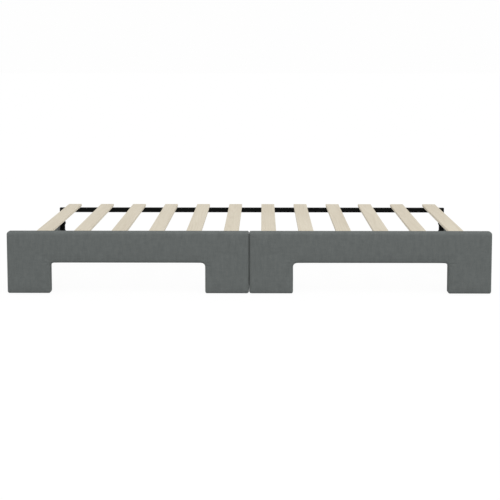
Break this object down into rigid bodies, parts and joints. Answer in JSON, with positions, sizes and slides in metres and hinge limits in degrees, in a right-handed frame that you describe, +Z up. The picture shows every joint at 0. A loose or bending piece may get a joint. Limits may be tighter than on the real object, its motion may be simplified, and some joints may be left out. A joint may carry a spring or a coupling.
{
  "type": "trundle daybed",
  "caption": "Low roll-out bed frame of a daybed: grey upholstered front with two drawer cut-outs, wooden slats on steel rails, rear posts and castors.",
  "frame": {"origin": "centre of the footprint, on the floor", "axes": "+X to the right seen from the front, -Y to the front, +Z up"},
  "size_m": [2, 0.942, 0.259],
  "materials": {
    "grey_fabric": "dark grey woven upholstery",
    "dust_cover": "black non-woven",
    "core_board": "raw board",
    "slat_wood": "pale sanded wood",
    "black_steel": "black powder coat",
    "black_bolt": "black",
    "plated_steel": "zinc plated",
    "wheel_nylon": "black nylon",
    "cap_plastic": "black nylon"
  },
  "bodies": {
    "frame": {"bracket_screws": "plated_steel", "castor_axles": "plated_steel", "castor_bolts": "plated_steel", "castor_bracket_front_left_inner": "black_steel", "castor_bracket_front_left_outer": "black_steel", "castor_bracket_front_right_inner": "black_steel", "castor_bracket_front_right_outer": "black_steel", "castor_fork_front_left_inner": "plated_steel", "castor_fork_front_left_outer": "plated_steel", "castor_fork_front_right_inner": "plated_steel", "castor_fork_front_right_outer": "plated_steel", "castor_fork_rear_left": "plated_steel", "castor_fork_rear_right": "plated_steel", "corner_bracket_left": "black_steel", "corner_bracket_right": "black_steel", "front_backing_left": "dust_cover", "front_backing_right": "dust_cover", "front_core_left": "core_board", "front_core_right": "core_board", "front_cover_left": "grey_fabric", "front_cover_right": "grey_fabric", "front_rail_left": "black_steel", "front_rail_right": "black_steel", "front_rail_screws": "black_bolt", "front_rail_splice": "plated_steel", "post_plugs": "cap_plastic", "rail_end_bolts": "black_bolt", "rail_end_caps": "cap_plastic", "rear_post_left": "black_steel", "rear_post_right": "black_steel", "rear_rail_left": "black_steel", "rear_rail_right": "black_steel", "rear_rail_splice": "plated_steel", "seam_plate_lower": "black_steel", "seam_plate_upper": "black_steel", "side_bolts": "black_bolt", "side_core_left": "core_board", "side_core_right": "core_board", "side_cover_left": "grey_fabric", "side_cover_right": "grey_fabric", "slat_01": "slat_wood", "slat_02": "slat_wood", "slat_03": "slat_wood", "slat_04": "slat_wood", "slat_05": "slat_wood", "slat_06": "slat_wood", "slat_07": "slat_wood", "slat_08": "slat_wood", "slat_09": "slat_wood", "slat_10": "slat_wood", "slat_11": "slat_wood", "slat_12": "slat_wood", "slat_screws": "plated_steel", "splice_screws": "black_bolt"},
    "wheel_front_left_outer": {"castor_wheel_front_left_outer": "wheel_nylon"},
    "wheel_front_left_inner": {"castor_wheel_front_left_inner": "wheel_nylon"},
    "wheel_front_right_inner": {"castor_wheel_front_right_inner": "wheel_nylon"},
    "wheel_front_right_outer": {"castor_wheel_front_right_outer": "wheel_nylon"},
    "wheel_rear_left": {"castor_wheel_rear_left": "wheel_nylon"},
    "wheel_rear_right": {"castor_wheel_rear_right": "wheel_nylon"}
  },
  "joints": [
    {"name": "roll_front_left_outer", "type": "hinge", "parent": "frame", "child": "wheel_front_left_outer", "pos_m": [-0.9, -0.397, 0.025], "axis": [1, 0, 0], "continuous": true},
    {"name": "roll_front_left_inner", "type": "hinge", "parent": "frame", "child": "wheel_front_left_inner", "pos_m": [-0.1, -0.397, 0.025], "axis": [1, 0, 0], "continuous": true},
    {"name": "roll_front_right_inner", "type": "hinge", "parent": "frame", "child": "wheel_front_right_inner", "pos_m": [0.1, -0.397, 0.025], "axis": [1, 0, 0], "continuous": true},
    {"name": "roll_front_right_outer", "type": "hinge", "parent": "frame", "child": "wheel_front_right_outer", "pos_m": [0.9, -0.397, 0.025], "axis": [1, 0, 0], "continuous": true},
    {"name": "roll_rear_left", "type": "hinge", "parent": "frame", "child": "wheel_rear_left", "pos_m": [-0.965, 0.43, 0.025], "axis": [1, 0, 0], "continuous": true},
    {"name": "roll_rear_right", "type": "hinge", "parent": "frame", "child": "wheel_rear_right", "pos_m": [0.965, 0.43, 0.025], "axis": [1, 0, 0], "continuous": true}
  ]
}
